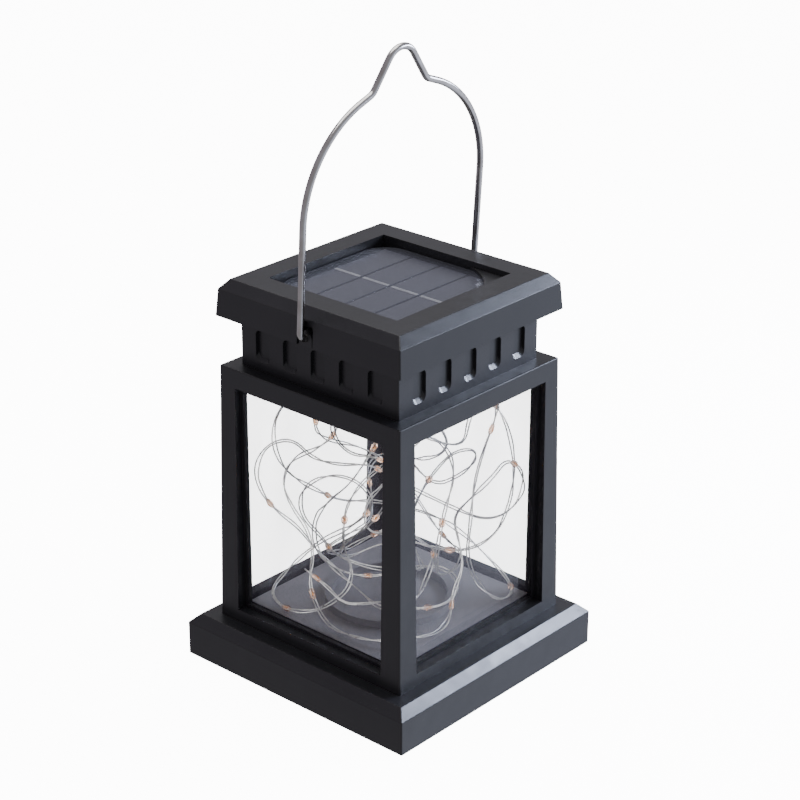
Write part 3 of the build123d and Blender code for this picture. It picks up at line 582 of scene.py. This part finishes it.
def cell_wrap():
    """The cell's plastic sleeve, with bare metal at both ends."""
    look = Look("cell_wrap")
    low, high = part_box("battery")
    middle, half_length = (low.x + high.x) / 2, (high.x - low.x) / 2
    from_middle = look.calculate("ABSOLUTE", look.calculate("SUBTRACT", look.coordinate("X"), middle))
    metal = look.between(from_middle, 0.0, 1.0, half_length - 0.0022, half_length - 0.0020)
    band = look.calculate("MULTIPLY", look.noise(0.02, 1.0), 0.3)
    blend = look.calculate("ADD", look.calculate("MULTIPLY", metal, 0.6), band)
    sleeve = [(0.10, (0.02, 0.10, 0.055)), (0.22, (0.03, 0.15, 0.08))]
    stops = sleeve + [(0.62, (0.6, 0.6, 0.58)), (0.85, (0.7, 0.7, 0.68))]
    look.base_colour(look.colours(blend, stops))
    look.link(metal, look.shader, "Metallic")
    look.roughness(look.between(look.noise(0.004), 0.2, 0.32))
    look.bump(look.noise(0.003), 0.00004, 0.3)
    return look.material


def nickel_plate():
    look = Look("nickel_plate", Metallic=1.0)
    wear = look.noise(0.0016, 4.0, look.stretched((1.0, 1.0, 0.2)))
    look.base_colour(look.colours(wear, [(0.3, (0.55, 0.54, 0.50)), (0.7, (0.70, 0.69, 0.65))]))
    look.roughness(look.between(wear, 0.22, 0.36))
    look.bump(wear, 0.00002, 0.3)
    return look.material


def epoxy():
    look = Look("epoxy")
    grain = look.noise(0.0004, 3.0)
    look.base_colour(look.colours(grain, [(0.3, (0.012, 0.012, 0.012)), (0.7, (0.024, 0.024, 0.024))]))
    look.roughness(look.between(grain, 0.45, 0.6))
    look.bump(grain, 0.00004, 0.5)
    return look.material


def soft_rubber():
    look = Look("soft_rubber", Specular_IOR_Level=0.35)
    bloom = look.noise(0.002, 4.0)
    look.base_colour(look.colours(bloom, [(0.3, (0.014, 0.014, 0.014)), (0.7, (0.028, 0.028, 0.027))]))
    look.roughness(look.between(bloom, 0.6, 0.8))
    look.bump(bloom, 0.00005, 0.4)
    return look.material


def lead_sleeve(name, dark, light):
    """The coloured insulation of a thin lead."""
    look = Look(name)
    mottle = look.noise(0.0015, 3.0)
    look.base_colour(look.colours(mottle, [(0.3, dark), (0.7, light)]))
    look.roughness(look.between(mottle, 0.35, 0.5))
    look.bump(mottle, 0.00003, 0.3)
    return look.material


def silver_wire():
    """Enamelled silver wire, a little uneven along its length."""
    look = Look("silver_wire", Metallic=0.85, Coat_Weight=0.4, Coat_Roughness=0.15)
    shade = look.noise(0.004, 4.0)
    look.base_colour(look.colours(shade, [(0.3, (0.70, 0.69, 0.67)), (0.7, (0.92, 0.91, 0.89))]))
    look.roughness(look.between(look.noise(0.0008), 0.25, 0.42))
    look.bump(look.noise(0.0005), 0.00002, 0.4)
    return look.material


def led_resin():
    """A drop of clear resin that takes a warm tint from the phosphor inside it."""
    look = Look("led_resin", IOR=1.45, Transmission_Weight=0.85, Coat_Weight=0.3)
    cloud = look.noise(0.0016, 3.0)
    look.base_colour(look.colours(cloud, [(0.3, (0.93, 0.60, 0.46)), (0.7, (0.97, 0.76, 0.64))]))
    look.roughness(look.between(cloud, 0.10, 0.28))
    look.bump(cloud, 0.00006, 0.4)
    return look.material


def led_chip():
    look = Look("led_chip", Roughness=0.4)
    grain = look.noise(0.0005, 3.0)
    look.base_colour(look.colours(grain, [(0.35, (0.80, 0.36, 0.10)), (0.65, (0.92, 0.62, 0.22))]))
    look.bump(grain, 0.00003, 0.5)
    return look.material


def finish_nodes():
    """A procedural material on every CAD node that shows."""
    looks = {
        case_plastic(): ("body_frame", "lid_cap", "lid_collar"),
        plinth_plastic(): ("base_plinth",),
        clear_pane(): ("front_pane", "right_pane", "rear_pane", "left_pane"),
        polished_steel(): ("handle_wire",),
        solar_resin(): ("solar_resin",),
        solar_cell(): ("solar_cells",),
        tinned_ribbon(): ("solar_ribbons",),
        panel_laminate(): ("solar_board",),
        circuit_laminate(): ("circuit_board",),
        foam_pad(): ("panel_pad",),
        tray_plastic(): ("lid_tray", "battery_cover", "switch_knob"),
        plated_screw(): ("base_screws", "tray_screws", "battery_cover_screw"),
        cell_wrap(): ("battery",),
        nickel_plate(): ("battery_contact_plus", "battery_contact_minus", "switch_body"),
        epoxy(): ("driver_chip", "inductor"),
        soft_rubber(): ("string_gland",),
        lead_sleeve("lead_red", (0.38, 0.012, 0.01), (0.55, 0.025, 0.02)): (
            "panel_lead_red",
            "battery_lead_red",
        ),
        lead_sleeve("lead_black", (0.012, 0.012, 0.012), (0.03, 0.03, 0.03)): (
            "panel_lead_black",
            "battery_lead_black",
        ),
    }
    for material, names in looks.items():
        for name in names:
            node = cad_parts[name]
            node.data.materials.clear()
            node.data.materials.append(material)


# ---- studio ----
def softbox(name, place, size, power, colour=(1.0, 1.0, 1.0), only=()):
    """A rectangular light that faces the lantern. It can be kept to some of the lantern's pieces."""
    data = bpy.data.lights.new(name, "AREA")
    data.shape = "RECTANGLE"
    data.size, data.size_y = size
    data.energy = power
    data.color = colour
    light = bpy.data.objects.new(name, data)
    light.location = place
    light.rotation_mode = "QUATERNION"
    light.rotation_quaternion = (AIM - Vector(place)).to_track_quat("-Z", "Y")
    bpy.context.scene.collection.objects.link(light)
    if only:
        lit = bpy.data.collections.new(name)
        for piece in only:
            lit.objects.link(piece)
        light.light_linking.receiver_collection = lit


def make_floor():
    data = bpy.data.meshes.new("floor")
    signs = ((-1, -1), (1, -1), (1, 1), (-1, 1))
    corners = [(x * FLOOR_HALF, y * FLOOR_HALF, FLOOR_HEIGHT) for x, y in signs]
    data.from_pydata(corners, [], [(0, 1, 2, 3)])
    floor = bpy.data.objects.new("floor", data)
    bpy.context.scene.collection.objects.link(floor)
    look = Look("floor", Roughness=0.9, Emission_Color=(1, 1, 1, 1), Emission_Strength=BACKDROP_GLOW)
    mottle = look.noise(0.3, 2.0)
    look.base_colour(look.colours(mottle, [(0.3, (0.86, 0.86, 0.87)), (0.7, (0.90, 0.90, 0.91))]))
    data.materials.append(look.material)
    floor.visible_glossy = False
    floor.visible_diffuse = False


def make_world():
    """A pale room that is brighter on the lantern's right, and plain white where it is the backdrop."""
    world = bpy.data.worlds.new("studio")
    bpy.context.scene.world = world
    world.use_nodes = True
    tree = world.node_tree
    room = tree.nodes["Background"]
    backdrop = tree.nodes.new("ShaderNodeBackground")
    backdrop.inputs["Color"].default_value = (1.0, 1.0, 1.0, 1.0)
    backdrop.inputs["Strength"].default_value = BACKDROP_GLOW
    space = tree.nodes.new("ShaderNodeTexCoord")
    sideways = tree.nodes.new("ShaderNodeVectorMath")
    sideways.operation = "DOT_PRODUCT"
    sideways.inputs[1].default_value = BRIGHT_SIDE
    tree.links.new(space.outputs["Generated"], sideways.inputs[0])
    share = tree.nodes.new("ShaderNodeMapRange")
    share.inputs["From Min"].default_value = -1.0
    tree.links.new(sideways.outputs["Value"], share.inputs["Value"])
    ramp = tree.nodes.new("ShaderNodeValToRGB")
    for _ in ROOM_SHADES[2:]:
        ramp.color_ramp.elements.new(0.5)
    for element, (place, colour) in zip(ramp.color_ramp.elements, ROOM_SHADES):
        element.position = place
        element.color = (*colour, 1.0)
    tree.links.new(share.outputs["Result"], ramp.inputs["Fac"])
    tree.links.new(ramp.outputs["Color"], room.inputs["Color"])
    rays = tree.nodes.new("ShaderNodeLightPath")
    mix = tree.nodes.new("ShaderNodeMixShader")
    tree.links.new(rays.outputs["Is Camera Ray"], mix.inputs["Fac"])
    tree.links.new(room.outputs["Background"], mix.inputs[1])
    tree.links.new(backdrop.outputs["Background"], mix.inputs[2])
    tree.links.new(mix.outputs["Shader"], tree.nodes["World Output"].inputs["Surface"])


make_camera()
string_pieces = make_string()
finish_nodes()
make_floor()
make_world()
softbox("key_light", KEY_PLACE, KEY_SIZE, KEY_POWER, KEY_COLOUR)
below_cap = [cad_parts[name] for name in ("base_plinth", "lid_collar")]
softbox("low_key_light", LOW_KEY_PLACE, KEY_SIZE, LOW_KEY_POWER, KEY_COLOUR, only=below_cap)
softbox("top_light", TOP_PLACE, TOP_SIZE, TOP_POWER)
softbox("left_card", LEFT_CARD_PLACE, CARD_SIZE, CARD_POWER, only=string_pieces)
softbox("front_card", FRONT_CARD_PLACE, CARD_SIZE, CARD_POWER, only=string_pieces)
